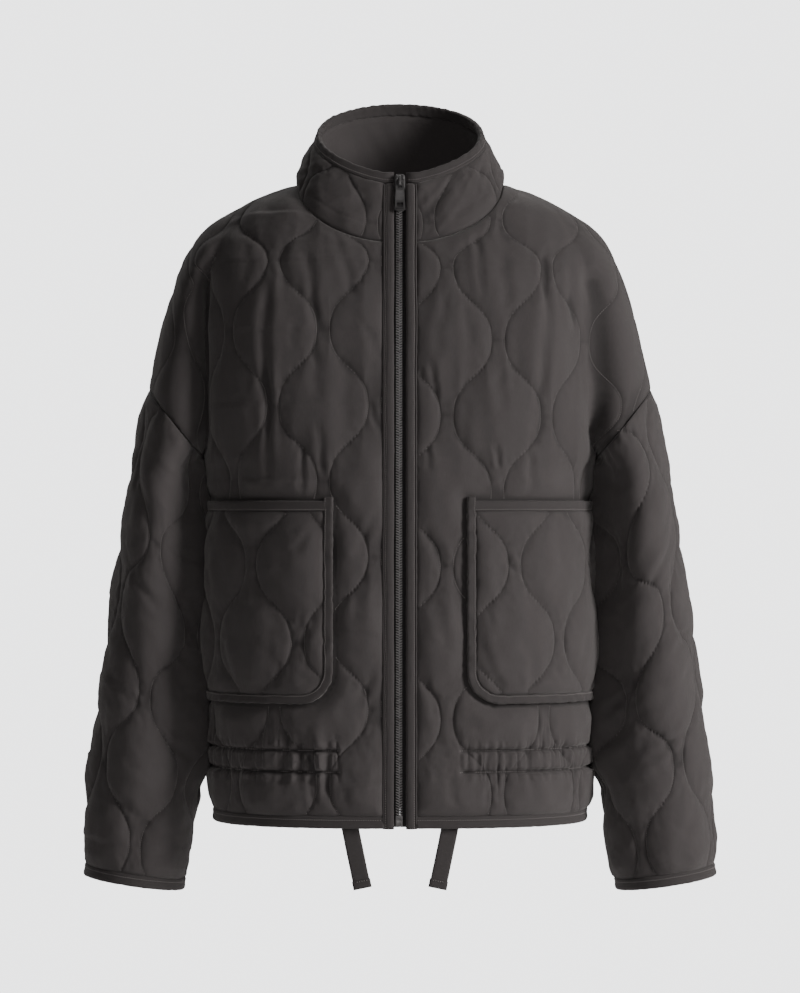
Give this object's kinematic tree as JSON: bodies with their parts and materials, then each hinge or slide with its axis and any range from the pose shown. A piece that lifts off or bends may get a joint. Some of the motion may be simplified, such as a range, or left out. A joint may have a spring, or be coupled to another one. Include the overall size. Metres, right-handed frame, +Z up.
{
  "type": "quilted zip jacket",
  "caption": "Quilted zip-front jacket with a stand collar, patch pockets, drawcord waist and bound edges, filled out as if worn with no wearer.",
  "frame": {"origin": "middle of the neck, level with the highest point of the shoulder seams, where the wearer's shoulders hold the jacket", "axes": "+Z up along the body, +X to the wearer's left, the front faces -Y"},
  "size_m": [0.6062, 0.2751, 0.7576],
  "materials": {
    "quilted_cloth": "soft, low sheen",
    "binding_cloth": "soft, low sheen",
    "zip_teeth": "matt",
    "zip_metal": "satin"
  },
  "bodies": {
    "jacket": {"front_left": "quilted_cloth", "front_right": "quilted_cloth", "back": "quilted_cloth", "sleeve_left": "quilted_cloth", "sleeve_right": "quilted_cloth", "collar": "quilted_cloth", "collar_binding": "binding_cloth", "front_binding_left": "binding_cloth", "front_binding_right": "binding_cloth", "hem_binding": "binding_cloth", "cuff_binding_left": "binding_cloth", "cuff_binding_right": "binding_cloth", "pocket_left": "quilted_cloth", "pocket_right": "quilted_cloth", "pocket_binding_left": "binding_cloth", "pocket_binding_right": "binding_cloth", "zip_tape_left": "binding_cloth", "zip_tape_right": "binding_cloth", "zip_chain": "zip_teeth", "zip_slider": "zip_metal", "tie_left": "binding_cloth", "tie_right": "binding_cloth"},
    "pull": {"zip_pull": "zip_metal"}
  },
  "joints": [
    {"name": "pull_swing", "type": "hinge", "parent": "jacket", "child": "pull", "pos_m": [0, -0.0759, -0.00211], "axis": [-1, 0, 0], "range_deg": [0, 150]}
  ]
}
